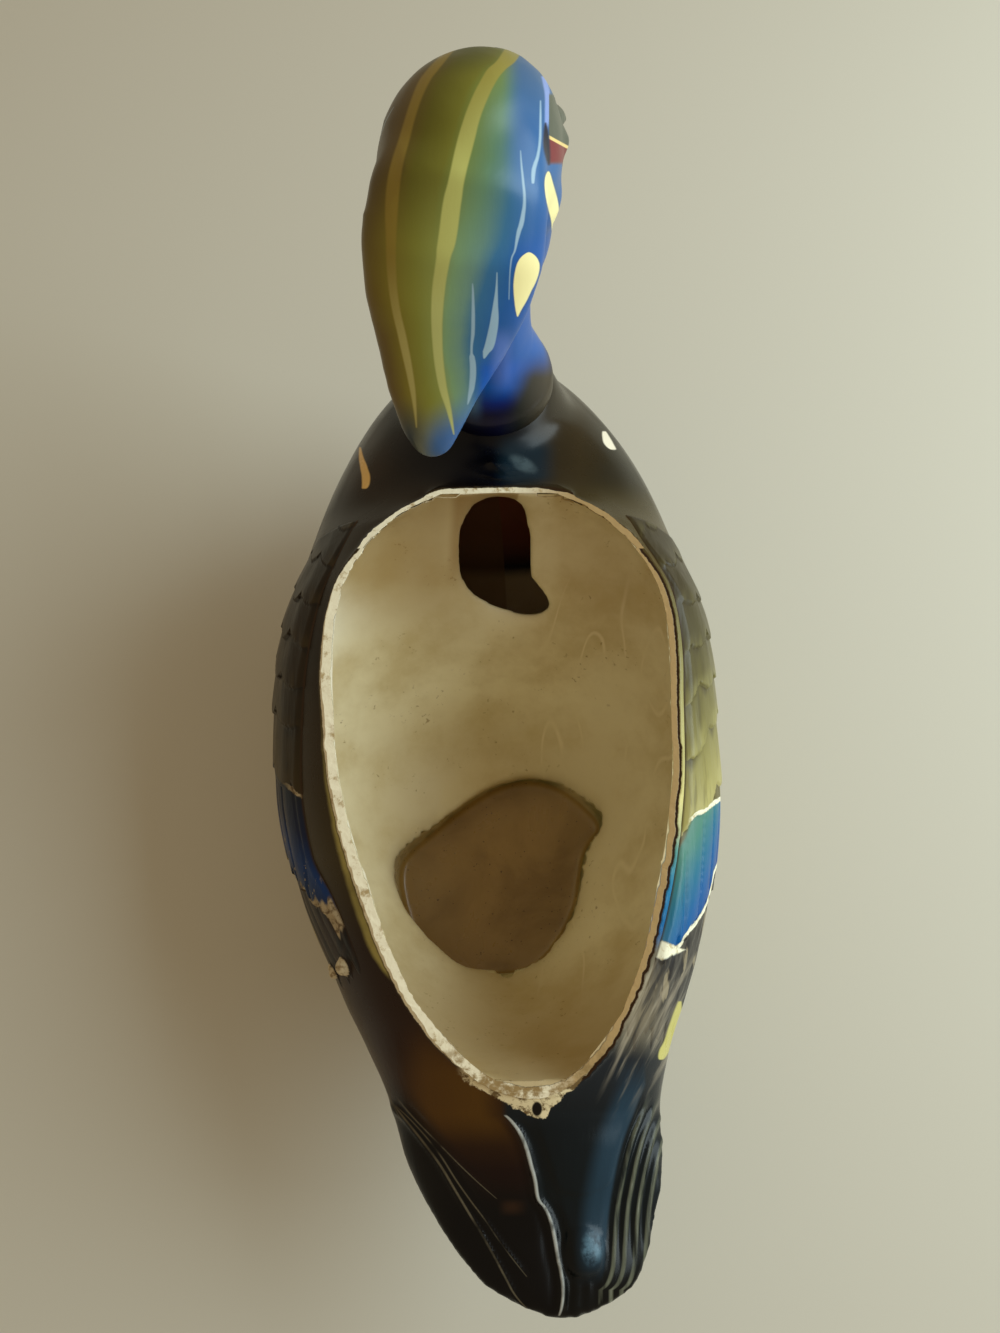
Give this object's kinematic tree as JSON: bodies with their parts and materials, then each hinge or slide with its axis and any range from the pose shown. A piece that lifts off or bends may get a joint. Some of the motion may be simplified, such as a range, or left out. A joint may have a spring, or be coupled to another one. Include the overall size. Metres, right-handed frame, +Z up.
{
  "type": "duck planter",
  "caption": "Hollow ceramic planter shaped as a swimming crested duck: open bowl in its back, drain hole to a hollow breast, well in the floor, standing on a low hollow lobed foot.",
  "frame": {"origin": "on the flat underside of the foot, under the middle of the open back", "axes": "+Y towards the breast and along the length, +X towards the duck's right wing, +Z up"},
  "size_m": [0.1317, 0.2841, 0.1986],
  "materials": {
    "body_bowl": "dark hand-painted gloss glaze outside, cream glaze inside, bare bisque on the rim",
    "plinth_base": "cream and moss-coloured gloss glaze",
    "head_and_neck": "blue hand-painted gloss glaze",
    "crest": "olive-green hand-painted gloss glaze with pale stripes",
    "wing_left": "dark olive and blue hand-painted gloss glaze, chipped",
    "wing_right": "olive, teal and blue hand-painted gloss glaze, chipped",
    "tail_fan": "blue-black gloss glaze",
    "neck_slip_fillet": "blue-black gloss glaze"
  },
  "bodies": {
    "root": {"body_bowl": "body_bowl", "plinth_base": "plinth_base", "head_and_neck": "head_and_neck", "crest": "crest", "wing_left": "wing_left", "wing_right": "wing_right", "tail_fan": "tail_fan", "neck_slip_fillet": "neck_slip_fillet"}
  },
  "joints": []
}
